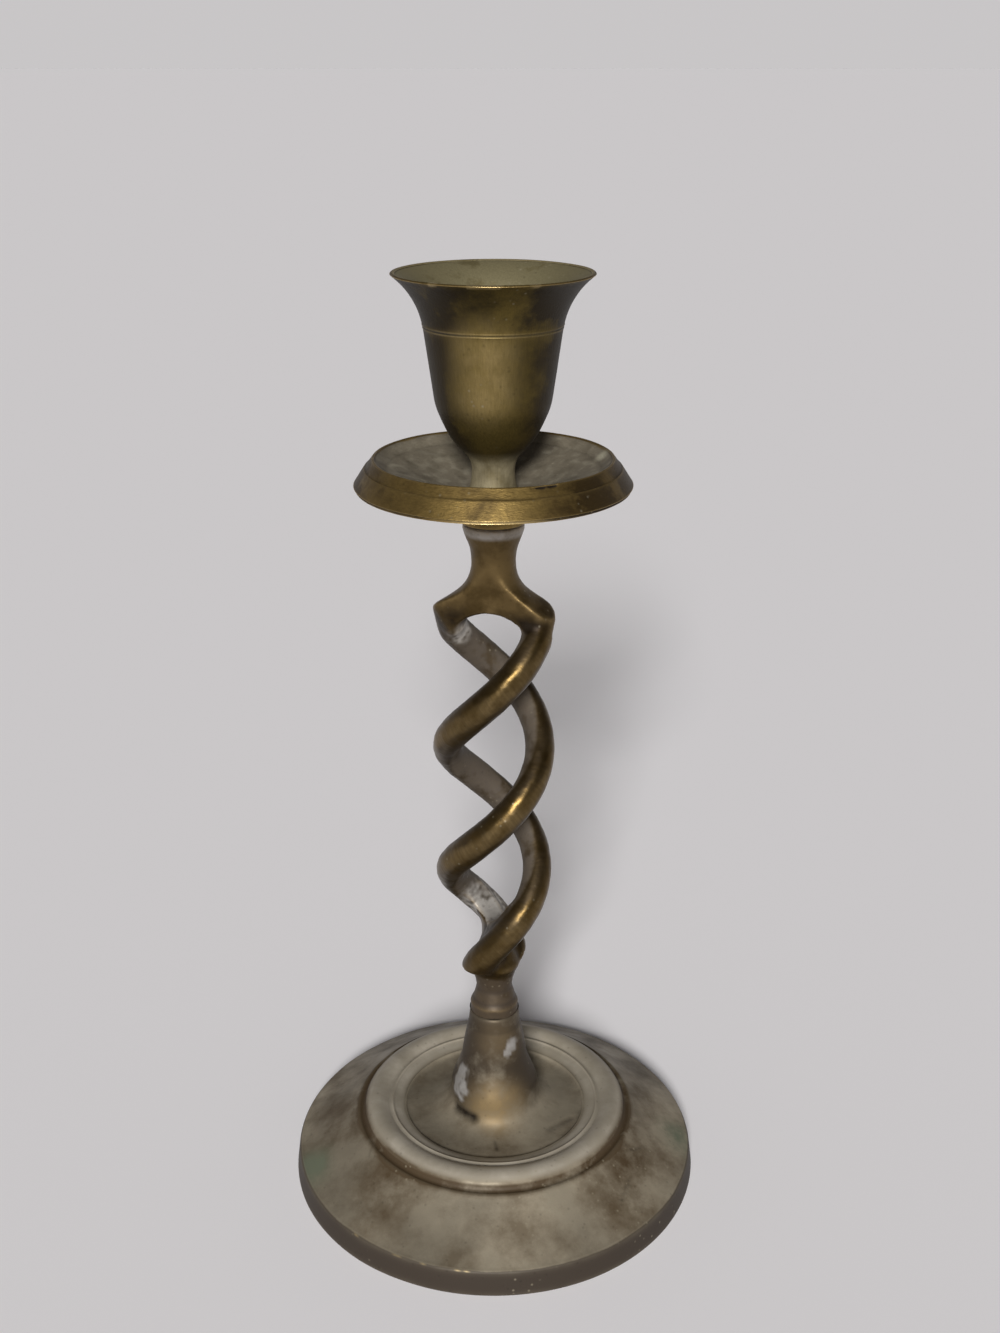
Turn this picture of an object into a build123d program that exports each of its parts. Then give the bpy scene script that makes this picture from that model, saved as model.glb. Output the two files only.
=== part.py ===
from build123d import *
import math
import os

os.makedirs("parts", exist_ok=True)

# Millimetres, +Z up, the origin under the middle of the base at the table

# Fits, and how far a cutting tool runs past a face
RUNNING_FIT = 0.05
PASS_FIT = 0.3
OVERRUN = 1.0

# Base casting
BASE_R = 50.0
BASE_RIM_H = 6.8
RIM_DRAFT = 0.8
RIM_EDGE = 0.8
RIM_EDGE_SAG = 0.16
BASE_WALL = 2.8
FOOT_WIDTH = 4.2
SKIRT_HOLLOW = 0.5
RING_OUTER_R = 32.3
RING_INNER_R = 25.3
RING_FOOT_Z = 16.7
RING_STEP = 0.9
RING_CREST = 0.9
RING_INNER_STEP = 0.4
EDGE_SLOPE = 0.3
FILLET_Z = 17.2
RIDGE_R = 22.2
RIDGE_Z = 16.4
RIDGE_SLOPE = 0.6
FLOOR_Z = 15.6
TRUMPET_TOP_Z = 44.0
TRUMPET_TOP_R = 5.9
TRUMPET_WAIST_R = 8.0
TRUMPET_WAIST_Z = 31.0
TRUMPET_FOOT_R = 18.5
TRUMPET_TAPER = 0.12
HEAD_THICKNESS = 11.0

# Lower fixing inside the trumpet
BASE_STUD_R = 2.5
BASE_STUD_IN_STEM = 9.0
WASHER_R = 5.0
WASHER_H = 1.0
NUT_ACROSS_FLATS = 8.0
NUT_H = 4.0
NUT_CORNER_DROP = 0.35
STUD_PAST_NUT = 1.2
STUD_CHAMFER = 0.5
FIXING_ROOM = 0.6

# Stem: necks and collar
BEAD_R = 6.2
BEAD_H = 2.4
BEAD_EDGE = 0.1
LOWER_NECK_R = 4.4
LOWER_NECK_H = 8.0
NECK_SWELL = 0.6
LOWER_TIP_R = 10.3
LOWER_TIP_H = 6.4
UPPER_NECK_R = 5.0
UPPER_NECK_RISE = 0.6
COLLAR_R = 7.0
COLLAR_H = 9.4
COLLAR_EDGE = 0.3
COLLAR_LIP = 0.5
COLLAR_FLARE = 2.0
SHOULDER_R = 14.0
SHOULDER_DROP = 11.4
SHOULDER_BEND_R = 8.0
SHOULDER_BEND_RISE = 5.0

# Stem: the two strands, the yoke above them and the web below
STRAND_R = 3.85
STRAND_FLATNESS = 0.82
STRAND_STEPS = 42
TWIST_R = 10.2
TWIST_END_R = 6.2
TWIST_PITCH = 64.6
TWIST_LENGTH = 106.0
TAPER_LENGTH = 34.0
SHOULDER_ANGLE = 1.0
CLEAR_OF_TWIST = 3.0
ROOT = 2.0
ELBOW_R = 3.95
ELBOW_DROP = 2.9
YOKE_HALF = 3.5
YOKE_LEG = 2.6
YOKE_CROWN = 0.4
YOKE_INTO_STRAND = 0.4
YOKE_INTO_NECK = 0.2
WEB_HALF = 3.0
WEB_HEIGHT = 24.0
WEB_STEPS = 10
WEB_SWELL_SHARE = 0.6
WEB_FLARE = 0.9
CONE_R = 6.4
CONE_TIP = 6.0
CONE_SHOULDER = 1.0

# Drip pan
PAN_HUB_R = 7.2
PAN_HUB_H = 7.0
PAN_HUB_STRAIGHT = 2.8
PAN_UNDER_R = 13.7
PAN_EDGE_R = 30.2
PAN_EDGE_H = 7.8
PAN_EDGE_ROUND = 0.7
PAN_EDGE_DRAFT = 0.3
PAN_EDGE_SAG = 0.25
PAN_STEP_R = 27.6
PAN_STEP_H = 12.1
PAN_STEP = 0.35
PAN_RIM_R = 25.9
PAN_RIM_H = 14.3
PAN_RIM_WIDTH = 0.7
PAN_RIM_ROUND = 0.2
PAN_FLOOR_R = 22.8
PAN_FLOOR_DROP = 2.2
PAN_DISH_R = 12.5
PAN_DISH_RISE = 1.3
PAN_SEAT_MARGIN = 0.8
PAN_WALL = 2.2

# Candle cup
CUP_LIP_R = 21.1
CUP_H = 45.6
CUP_LIP_WALL = 1.1
CUP_LIP_ROUND = 0.35
CUP_FOOT_R = 4.6
CUP_FOOT_FLARE = 0.7
CUP_FOOT_H = 4.4
CUP_CALYX_R = 8.0
CUP_CALYX_H = 10.2
CUP_BELLY_R = 11.2
CUP_BELLY_H = 15.8
CUP_BOWL_R = 12.5
CUP_BOWL_H = 20.0
CUP_LINE_R = 14.65
CUP_LINE_H = 34.8
CUP_LINE_DEPTH = 0.25
CUP_LINE_WIDTH = 0.7
CUP_LINE_TAPER = 0.1
CUP_FLARE_START = (0.2, 1)
CANDLE_R = 11.0
CANDLE_FIT = 0.15
CANDLE_BORE_H = 13.0
CANDLE_BORE_RISE = 1.0
CANDLE_LEAD_IN = (0.1, 1)
CUP_FLOOR_H = 13.0

# Upper fixing, fast in the cup and screwed into the stem
CUP_STUD_R = 3.0
CUP_STUD_IN_CUP = 8.5
CUP_STUD_IN_STEM = 9.0
STUD_HOLE_SPARE = 1.5

# Levels that follow from the sizes above
SEAT_Z = TRUMPET_TOP_Z
TWIST_BOTTOM_Z = SEAT_Z + LOWER_NECK_H
TWIST_TOP_Z = TWIST_BOTTOM_Z + TWIST_LENGTH
SHOULDER_Z = TWIST_TOP_Z - SHOULDER_DROP
ELBOW_Z = SHOULDER_Z - ELBOW_DROP
LOWER_TIP_Z = TWIST_BOTTOM_Z + LOWER_TIP_H
STEM_TOP_Z = TWIST_TOP_Z + COLLAR_H
CUP_SEAT_Z = STEM_TOP_Z + PAN_HUB_H
HEAD_UNDER_Z = TRUMPET_TOP_Z - HEAD_THICKNESS
WASHER_UNDER_Z = HEAD_UNDER_Z - WASHER_H
NUT_UNDER_Z = WASHER_UNDER_Z - NUT_H


def turned(*edges):
    """A solid of revolution about Z from a closed outline given as radius and height."""
    outline = make_face(Curve() + list(edges))
    return revolve(Plane.XZ * outline, Axis.Z)


def chain(*points):
    """Straight edges through points."""
    return [Line(start, end) for start, end in zip(points, points[1:])]


def rod(radius, low, high):
    """A plain round bar on the axis between two heights."""
    return Pos(0, 0, low) * Cylinder(radius, high - low, align=(Align.CENTER, Align.CENTER, Align.MIN))


def stud(radius, low, high):
    """A threaded stud without its thread: a round bar with chamfered ends."""
    waist = radius - STUD_CHAMFER
    return turned(
        *chain(
            (0, low),
            (waist, low),
            (radius, low + STUD_CHAMFER),
            (radius, high - STUD_CHAMFER),
            (waist, high),
            (0, high),
            (0, low),
        )
    )


def make_base():
    """The foot casting: rim, skirt, ring, dished floor and trumpet, with an even wall left hollow below."""
    foot_out = (BASE_R, 0)
    foot_in = (BASE_R - FOOT_WIDTH, 0)
    rim_top = (BASE_R - RIM_DRAFT, BASE_RIM_H - RIM_EDGE)
    skirt_low = (rim_top[0] - RIM_EDGE, BASE_RIM_H)
    skirt_high = (RING_OUTER_R + EDGE_SLOPE, RING_FOOT_Z)
    ring_out = (RING_OUTER_R, RING_FOOT_Z + RING_STEP)
    ring_in = (RING_INNER_R, FILLET_Z + RING_INNER_STEP)
    ring_mid = ((RING_OUTER_R + RING_INNER_R) / 2, ring_out[1] + RING_CREST)
    fillet_out = (RING_INNER_R - EDGE_SLOPE, FILLET_Z)
    ridge_out = (RIDGE_R + EDGE_SLOPE, RIDGE_Z)
    ridge_in = (RIDGE_R, RIDGE_Z)
    floor_out = (RIDGE_R - RIDGE_SLOPE, FLOOR_Z)
    trumpet_foot = (TRUMPET_FOOT_R, FLOOR_Z)
    waist = (TRUMPET_WAIST_R, TRUMPET_WAIST_Z)
    head = (TRUMPET_TOP_R, TRUMPET_TOP_Z)
    bore = BASE_STUD_R + PASS_FIT
    under_z = FLOOR_Z - BASE_WALL
    hollow_top = (WASHER_R + FIXING_ROOM, HEAD_UNDER_Z)
    hollow_turn = (TRUMPET_FOOT_R - BASE_WALL / 2, under_z)
    hollow_edge = (RING_OUTER_R - BASE_WALL, under_z)
    hollow_skirt = (rim_top[0] - BASE_WALL - FOOT_WIDTH / 2.5, BASE_RIM_H - BASE_WALL)
    return turned(
        Line(foot_in, foot_out),
        Line(foot_out, rim_top),
        SagittaArc(rim_top, skirt_low, -RIM_EDGE_SAG),
        SagittaArc(skirt_low, skirt_high, SKIRT_HOLLOW),
        Line(skirt_high, ring_out),
        ThreePointArc(ring_out, ring_mid, ring_in),
        *chain(ring_in, fillet_out, ridge_out, ridge_in, floor_out, trumpet_foot),
        Spline(trumpet_foot, waist, head, tangents=[(-1, 0), (-TRUMPET_TAPER, 1)]),
        *chain(head, (bore, TRUMPET_TOP_Z), (bore, HEAD_UNDER_Z), hollow_top),
        Spline(hollow_top, hollow_turn, tangents=[(TRUMPET_TAPER, -1), (1, 0)]),
        *chain(hollow_turn, hollow_edge, hollow_skirt, foot_in),
    )


def strand_angle(z):
    """The angle of the first strand at a height, in degrees: an even right-hand twist."""
    return SHOULDER_ANGLE + 360.0 / TWIST_PITCH * (z - SHOULDER_Z)


def strand_radius(z):
    """Distance of a strand's middle from the axis, closing towards the lower neck."""
    share = max(0.0, LOWER_TIP_Z + TAPER_LENGTH - z) / TAPER_LENGTH
    return TWIST_R - (TWIST_R - TWIST_END_R) * share ** 2


def strand_point(z, turn):
    """The middle of a strand at a height, the strand turned about the axis by an angle."""
    angle = math.radians(strand_angle(z) + turn)
    return Vector(strand_radius(z) * math.cos(angle), strand_radius(z) * math.sin(angle), z)


def strand_section(z, turn):
    """A section square to the strand: round outside, flatter towards the axis."""
    step = STRAND_R / 100
    middle = strand_point(z, turn)
    along = (strand_point(z + step, turn) - strand_point(z - step, turn)).normalized()
    outward = Vector(middle.X, middle.Y, 0).normalized()
    outward = (outward - along * outward.dot(along)).normalized()
    half = math.sqrt(0.5) * STRAND_R
    flat = STRAND_FLATNESS * STRAND_R
    inner_centre = (STRAND_R ** 2 - flat ** 2) / (2 * flat)
    inner_r = inner_centre + flat
    swing = math.asin(STRAND_R / inner_r) / 2
    inner_mid = (inner_centre - inner_r * math.cos(swing), inner_r * math.sin(swing))
    edges = [
        ThreePointArc((0, -STRAND_R), (half, -half), (STRAND_R, 0)),
        ThreePointArc((STRAND_R, 0), (half, half), (0, STRAND_R)),
        ThreePointArc((0, STRAND_R), inner_mid, (-flat, 0)),
        ThreePointArc((-flat, 0), (inner_mid[0], -inner_mid[1]), (0, -STRAND_R)),
    ]
    return Plane(middle, x_dir=outward, z_dir=along) * make_face(Curve() + edges)


def make_strand(turn):
    """One strand, from its root in the lower neck to the yoke's elbow."""
    low = TWIST_BOTTOM_Z - ROOT
    heights = [low + (ELBOW_Z - low) * step / STRAND_STEPS for step in range(STRAND_STEPS + 1)]
    return loft([strand_section(z, turn) for z in heights])


def make_yoke():
    """The bridge that joins the strands under the upper neck, thicker upwards and arched below."""
    foot_z = SHOULDER_Z - YOKE_LEG
    top_z = TWIST_TOP_Z + OVERRUN
    top_half = UPPER_NECK_R + YOKE_INTO_NECK
    side = chain(
        (YOKE_HALF, foot_z),
        (top_half, top_z),
        (-top_half, top_z),
        (-YOKE_HALF, foot_z),
        (YOKE_HALF, foot_z),
    )
    bar = extrude(Plane.YZ * make_face(Curve() + side), TWIST_R + YOKE_INTO_STRAND, both=True)
    window = TWIST_R - STRAND_FLATNESS * STRAND_R
    crown_z = SHOULDER_Z + YOKE_CROWN
    rise = crown_z - foot_z
    arch_r = (window ** 2 + rise ** 2) / (2 * rise)
    arch = Pos(0, 0, crown_z - arch_r) * Rot(90, 0, 0) * Cylinder(arch_r, 4 * TWIST_R)
    bridge = bar - arch
    post = rod(ELBOW_R, 0, top_z - ELBOW_Z) + Sphere(ELBOW_R)
    for post_x in (TWIST_R, -TWIST_R):
        bridge += Pos(post_x, 0, ELBOW_Z) * post
    return Rot(0, 0, strand_angle(ELBOW_Z)) * bridge


def make_web():
    """The twisted web that joins the strands above the lower neck, waisted between them and hollowed on top."""
    low = TWIST_BOTTOM_Z - ROOT
    high = TWIST_BOTTOM_Z + WEB_HEIGHT
    sections = []
    for step in range(WEB_STEPS + 1):
        share = step / WEB_STEPS
        z = low + (high - low) * share
        swell = max(0.0, 1 - share / WEB_SWELL_SHARE)
        waist = WEB_HALF + (LOWER_NECK_R + NECK_SWELL - WEB_HALF) * swell
        reach = strand_radius(z)
        end = waist + WEB_FLARE
        outline = [
            ThreePointArc((-reach, end), (0, waist), (reach, end)),
            Line((reach, end), (reach, -end)),
            ThreePointArc((reach, -end), (0, -waist), (-reach, -end)),
            Line((-reach, -end), (-reach, end)),
        ]
        sections.append(Pos(0, 0, z) * Rot(0, 0, strand_angle(z)) * make_face(Curve() + outline))
    web = loft(sections)
    hollow_r = strand_radius(high) - STRAND_FLATNESS * STRAND_R
    across = Rot(0, 0, strand_angle(high - WEB_SWELL_SHARE * hollow_r)) * Rot(90, 0, 0)
    return web - Pos(0, 0, high) * across * Cylinder(hollow_r, 6 * hollow_r)


def make_stem():
    """Bead, neck, two open strands, yoke and collar: the raw twist is trimmed by one turned outline."""
    clear_r = SHOULDER_R + CLEAR_OF_TWIST
    bead_foot = (BEAD_R - BEAD_EDGE, SEAT_Z)
    neck = (LOWER_NECK_R, SEAT_Z + 0.75 * LOWER_NECK_H)
    tip_out = (clear_r, LOWER_TIP_Z + ROOT)
    shoulder_out = (clear_r, SHOULDER_Z - ROOT)
    upper_neck = (UPPER_NECK_R, TWIST_TOP_Z + UPPER_NECK_RISE)
    collar = (COLLAR_R, STEM_TOP_Z - COLLAR_LIP)
    blank = turned(
        Line((0, SEAT_Z), bead_foot),
        Spline(
            bead_foot,
            (BEAD_R, SEAT_Z + 0.2 * BEAD_H),
            (LOWER_NECK_R + NECK_SWELL, SEAT_Z + 1.4 * BEAD_H),
            neck,
            tangents=[(BEAD_EDGE, 1), (0, 1)],
        ),
        Spline(
            neck,
            (LOWER_NECK_R + 0.8, LOWER_TIP_Z - 4.0),
            (LOWER_NECK_R + 1.8, LOWER_TIP_Z - 1.9),
            (LOWER_TIP_R, LOWER_TIP_Z),
            tip_out,
            tangents=[(0, 1), (1, 0.3)],
        ),
        Line(tip_out, shoulder_out),
        Spline(
            shoulder_out,
            (SHOULDER_R, SHOULDER_Z),
            (SHOULDER_BEND_R, SHOULDER_Z + SHOULDER_BEND_RISE),
            upper_neck,
            tangents=[(-1, 0.5), (0, 1)],
        ),
        Spline(
            upper_neck,
            (COLLAR_R - COLLAR_EDGE, STEM_TOP_Z - COLLAR_FLARE),
            collar,
            tangents=[(0, 1), (0, 1)],
        ),
        *chain(collar, (COLLAR_R - COLLAR_EDGE, STEM_TOP_Z), (0, STEM_TOP_Z), (0, SEAT_Z)),
    )
    raw = rod(clear_r, TWIST_TOP_Z + YOKE_INTO_NECK, STEM_TOP_Z + OVERRUN)
    raw += rod(clear_r, SEAT_Z - OVERRUN, TWIST_BOTTOM_Z - ROOT / 4)
    raw += turned(
        *chain(
            (0, SEAT_Z),
            (CONE_R, SEAT_Z),
            (CONE_R, LOWER_TIP_Z - CONE_SHOULDER),
            (LOWER_NECK_R, LOWER_TIP_Z + CONE_TIP / 2),
            (0, LOWER_TIP_Z + CONE_TIP),
            (0, SEAT_Z),
        )
    )
    raw += make_yoke()
    raw += make_web()
    raw += make_strand(0)
    raw += make_strand(180)
    stem = blank & raw
    stud_end = STEM_TOP_Z - CUP_STUD_IN_STEM - STUD_HOLE_SPARE
    stem -= rod(CUP_STUD_R + RUNNING_FIT, stud_end, STEM_TOP_Z + OVERRUN)
    stem -= rod(BASE_STUD_R, SEAT_Z - OVERRUN, SEAT_Z + BASE_STUD_IN_STEM)
    return stem


def make_pan():
    """The drip pan: a shallow dish with a flared skirt and a hub that sits on the stem."""
    bottom = STEM_TOP_Z
    hole = CUP_STUD_R + PASS_FIT
    floor = bottom + PAN_HUB_H
    rim = bottom + PAN_RIM_H
    edge = bottom + PAN_EDGE_H
    step = bottom + PAN_STEP_H
    hub_low = (PAN_HUB_R, bottom)
    hub_high = (PAN_HUB_R, bottom + PAN_HUB_STRAIGHT)
    under = (PAN_UNDER_R, floor - 0.6 * PAN_WALL)
    skirt_in = (PAN_STEP_R - PAN_WALL, step - PAN_WALL)
    edge_in = (PAN_EDGE_R - 1.1 * PAN_WALL, edge)
    edge_low = (PAN_EDGE_R - PAN_EDGE_ROUND, edge)
    edge_high = (PAN_EDGE_R - PAN_EDGE_DRAFT, edge + PAN_EDGE_ROUND)
    step_in = (PAN_STEP_R - PAN_STEP, step + PAN_STEP / 2)
    rim_out = (PAN_RIM_R, rim - PAN_RIM_ROUND)
    rim_mid = (PAN_RIM_R - PAN_RIM_WIDTH / 2, rim)
    rim_in = (PAN_RIM_R - PAN_RIM_WIDTH, rim - PAN_RIM_ROUND)
    dish_out = (PAN_FLOOR_R, rim - PAN_FLOOR_DROP)
    dish_mid = (PAN_DISH_R, floor + PAN_DISH_RISE)
    seat = (CUP_FOOT_R + CUP_FOOT_FLARE + PAN_SEAT_MARGIN, floor)
    return turned(
        *chain((hole, bottom), hub_low, hub_high),
        Spline(hub_high, under, skirt_in, tangents=[(0.6, 1), (1, 0.25)]),
        *chain(skirt_in, edge_in, edge_low),
        SagittaArc(edge_low, edge_high, PAN_EDGE_SAG),
        *chain(edge_high, (PAN_STEP_R, step), step_in, rim_out),
        ThreePointArc(rim_out, rim_mid, rim_in),
        Line(rim_in, dish_out),
        Spline(dish_out, dish_mid, seat, tangents=[(-1, -0.22), (-1, 0)]),
        *chain(seat, (hole, floor), (hole, bottom)),
    )


def make_cup():
    """The candle cup: narrow foot, tulip bowl, incised line and flared lip, bored for a candle."""
    low = CUP_SEAT_Z
    foot = (CUP_FOOT_R + CUP_FOOT_FLARE, low)
    waist = (CUP_FOOT_R, low + CUP_FOOT_H)
    bowl = (CUP_BOWL_R, low + CUP_BOWL_H)
    line_z = low + CUP_LINE_H
    line_low = (CUP_LINE_R - CUP_LINE_TAPER, line_z - CUP_LINE_WIDTH / 2)
    line_mid = (CUP_LINE_R - CUP_LINE_DEPTH, line_z)
    line_high = (CUP_LINE_R + CUP_LINE_TAPER / 2, line_z + CUP_LINE_WIDTH / 2)
    lip_z = low + CUP_H
    lip_out = (CUP_LIP_R, lip_z - CUP_LIP_ROUND)
    lip_top = (CUP_LIP_R - CUP_LIP_WALL / 2, lip_z)
    lip_in = (CUP_LIP_R - CUP_LIP_WALL, lip_z - CUP_LIP_ROUND)
    bore = CANDLE_R + CANDLE_FIT
    bore_low = (bore, low + CUP_BOWL_H + CANDLE_BORE_RISE)
    bore_high = (bore, bore_low[1] + CANDLE_BORE_H)
    floor = (0, low + CUP_FLOOR_H)
    taper = (line_low[0] - bowl[0], line_low[1] - bowl[1])
    cup = turned(
        Line((0, low), foot),
        Spline(foot, waist, tangents=[(-0.3, 1), (0, 1)]),
        Spline(
            waist,
            (CUP_CALYX_R, low + CUP_CALYX_H),
            (CUP_BELLY_R, low + CUP_BELLY_H),
            bowl,
            tangents=[(0, 1), taper],
        ),
        *chain(bowl, line_low, line_mid, line_high),
        TangentArc(line_high, lip_out, tangent=CUP_FLARE_START),
        ThreePointArc(lip_out, lip_top, lip_in),
        TangentArc(bore_high, lip_in, tangent=CANDLE_LEAD_IN),
        Line(bore_high, bore_low),
        Spline(bore_low, floor, tangents=[(0, -1), (-1, 0)]),
        Line(floor, (0, low)),
    )
    return cup - rod(CUP_STUD_R, low - OVERRUN, low + CUP_STUD_IN_CUP)


def make_cup_stud():
    """The stud that is fast in the cup and screws through the pan into the stem."""
    return stud(CUP_STUD_R, STEM_TOP_Z - CUP_STUD_IN_STEM, CUP_SEAT_Z + CUP_STUD_IN_CUP)


def make_base_stud():
    """The stud that hangs from the stem through the trumpet's head."""
    return stud(BASE_STUD_R, NUT_UNDER_Z - STUD_PAST_NUT, SEAT_Z + BASE_STUD_IN_STEM)


def make_base_washer():
    """The plain washer under the trumpet's head."""
    hole = rod(BASE_STUD_R + PASS_FIT, WASHER_UNDER_Z - OVERRUN, HEAD_UNDER_Z + OVERRUN)
    return rod(WASHER_R, WASHER_UNDER_Z, HEAD_UNDER_Z) - hole


def make_base_nut():
    """The hexagon nut that draws the stem down on the base, its corners turned off at both faces."""
    hexagon = RegularPolygon(NUT_ACROSS_FLATS / 2, 6, major_radius=False)
    nut = Pos(0, 0, NUT_UNDER_Z) * extrude(hexagon, NUT_H)
    flat_r = NUT_ACROSS_FLATS / 2
    corner_r = flat_r / math.cos(math.pi / 6) + NUT_CORNER_DROP
    nut &= turned(
        *chain(
            (0, NUT_UNDER_Z),
            (flat_r, NUT_UNDER_Z),
            (corner_r, NUT_UNDER_Z + 2 * NUT_CORNER_DROP),
            (corner_r, WASHER_UNDER_Z - 2 * NUT_CORNER_DROP),
            (flat_r, WASHER_UNDER_Z),
            (0, WASHER_UNDER_Z),
            (0, NUT_UNDER_Z),
        )
    )
    return nut - rod(BASE_STUD_R, NUT_UNDER_Z - OVERRUN, WASHER_UNDER_Z + OVERRUN)


PIECES = {
    "base": make_base,
    "twist_stem": make_stem,
    "drip_pan": make_pan,
    "candle_cup": make_cup,
    "cup_stud": make_cup_stud,
    "base_stud": make_base_stud,
    "base_washer": make_base_washer,
    "base_nut": make_base_nut,
}

for name, make in PIECES.items():
    piece = make()
    piece.label = name
    export_step(piece, f"parts/{name}.step")
    print(name, round(piece.volume, 1), len(piece.solids()), piece.is_valid)
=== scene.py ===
import math
import bpy
import numpy as np
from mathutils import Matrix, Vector
from mathutils import noise


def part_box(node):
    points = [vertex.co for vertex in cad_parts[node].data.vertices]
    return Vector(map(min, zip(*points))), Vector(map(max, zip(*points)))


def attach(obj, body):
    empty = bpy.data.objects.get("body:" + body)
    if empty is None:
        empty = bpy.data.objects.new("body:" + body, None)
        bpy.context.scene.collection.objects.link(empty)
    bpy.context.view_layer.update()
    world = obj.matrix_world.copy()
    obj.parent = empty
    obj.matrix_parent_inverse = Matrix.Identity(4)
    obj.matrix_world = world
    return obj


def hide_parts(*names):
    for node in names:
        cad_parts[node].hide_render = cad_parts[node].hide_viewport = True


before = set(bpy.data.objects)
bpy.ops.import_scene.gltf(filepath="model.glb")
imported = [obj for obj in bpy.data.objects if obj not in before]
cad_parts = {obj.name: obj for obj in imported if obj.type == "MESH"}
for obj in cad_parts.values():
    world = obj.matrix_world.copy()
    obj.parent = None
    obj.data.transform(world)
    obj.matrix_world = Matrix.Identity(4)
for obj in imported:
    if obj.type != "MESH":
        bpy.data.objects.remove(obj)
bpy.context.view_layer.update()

# Sizes, heights and places below are in millimetres, and meshes are made in metres
MM = 0.001
JOIN = 0.001 * MM

# The photograph: a 1000 by 1333 image taken from a little above
IMAGE_HEIGHT_PX = 1333
FOCAL_PX = 1540
SENSOR_MM = 36.0
CAMERA_MM = (1.4, -320.2, 261.1)
CAMERA_TILT = 21.71

# Corners of the turned pieces sharper than this are rounded, with this many points each,
# and take up no more than this share of the runs beside them
CORNER_TURN = 16.0
CORNER_POINTS = 5
CORNER_SHARE = 0.45

# The twist of the stem, as the CAD has it
SHOULDER_Z = 146.6
TWIST_PITCH = 64.6
TWIST_R = 10.2
SHOULDER_ANGLE = 1.0

# Beyond any radius, height or facing of the object, for a bound that is open
FAR = 300.0


# Small tools for making meshes

def open_piece(piece):
    """Makes a piece the only one selected and opens it for editing, all of it selected."""
    bpy.ops.object.select_all(action="DESELECT")
    bpy.context.view_layer.objects.active = piece
    piece.select_set(True)
    bpy.ops.object.mode_set(mode="EDIT")
    bpy.ops.mesh.select_mode(type="VERT")
    bpy.ops.mesh.select_all(action="SELECT")


def close_piece():
    bpy.ops.object.mode_set(mode="OBJECT")


def new_piece(name, mesh):
    piece = bpy.data.objects.new(name, mesh)
    bpy.context.scene.collection.objects.link(piece)
    return piece


def cad_copy(node, name):
    """A copy of a CAD node with its loose triangles joined."""
    piece = new_piece(name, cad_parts[node].data.copy())
    piece.data.materials.clear()
    open_piece(piece)
    bpy.ops.mesh.customdata_custom_splitnormals_clear()
    bpy.ops.mesh.remove_doubles(threshold=JOIN)
    close_piece()
    return piece


def apply_modifier(piece, kind, **settings):
    bpy.ops.object.select_all(action="DESELECT")
    bpy.context.view_layer.objects.active = piece
    piece.select_set(True)
    change = piece.modifiers.new(kind.lower(), kind)
    for key, value in settings.items():
        setattr(change, key, value)
    bpy.ops.object.modifier_apply(modifier=change.name)


def read_points(piece, what="co"):
    values = np.zeros(len(piece.data.vertices) * 3)
    piece.data.vertices.foreach_get(what, values)
    return values.reshape(-1, 3)


def write_points(piece, points):
    piece.data.vertices.foreach_set("co", points.ravel())
    piece.data.update()


def cad_outline(node):
    """The right-hand outline of a turned node as radius and height, in order, from a cut through its axis."""
    piece = cad_copy(node, "outline")
    open_piece(piece)
    bpy.ops.mesh.bisect(
        plane_co=(0, 0, 0), plane_no=(0, 1, 0), clear_inner=True, clear_outer=True, threshold=JOIN
    )
    close_piece()
    points = read_points(piece)
    across = points[:, 0]
    near = {}
    for edge in piece.data.edges:
        first, second = edge.vertices
        if min(across[first], across[second]) > -JOIN and across[first] + across[second] > JOIN:
            near.setdefault(first, []).append(second)
            near.setdefault(second, []).append(first)
    ends = [index for index, others in near.items() if len(others) == 1]
    order = [ends[0] if ends else next(iter(near))]
    onward = near[order[0]][:1]
    while onward:
        order += onward
        onward = [index for index in near[order[-1]] if index not in order][:1]
    outline = points[order][:, [0, 2]].tolist()
    closed = not ends
    # A flat face across the axis leaves the outline's end short of it
    for place, end in ((0, outline[0]), (len(outline) + 1, outline[-1])):
        if not closed and end[0] > JOIN:
            outline.insert(place, [0.0, end[1]])
    bpy.data.objects.remove(piece)
    return outline, closed


def rounded_corner(before, here, after, corner):
    """A corner's points, on a curve that leaves its two sides no further off than the corner's size."""
    back = min(corner, CORNER_SHARE * (here - before).length)
    front = min(corner, CORNER_SHARE * (after - here).length)
    start = here.lerp(before, back / (here - before).length)
    end = here.lerp(after, front / (after - here).length)
    steps = [part / (CORNER_POINTS - 1) for part in range(CORNER_POINTS)]
    return [start.lerp(here, t).lerp(here.lerp(end, t), t) for t in steps]


def eased_outline(outline, closed, step, corner):
    """The outline with its sharp corners rounded and no step longer than the given one."""
    points = [Vector((r, z)) for r, z in outline]
    count = len(points)
    eased = []
    for index, here in enumerate(points):
        before = points[index - 1]
        after = points[(index + 1) % count]
        inner = closed or 0 < index < count - 1
        if inner and math.degrees((here - before).angle(after - here, 0.0)) >= CORNER_TURN:
            eased += rounded_corner(before, here, after, corner)
        else:
            eased.append(here)
    stepped = []
    nexts = eased[1:] + eased[:1] if closed else eased[1:]
    for first, second in zip(eased, nexts):
        parts = max(1, math.ceil((second - first).length / step))
        stepped += [first.lerp(second, part / parts) for part in range(parts)]
    if not closed:
        stepped.append(eased[-1])
    return stepped


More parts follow.
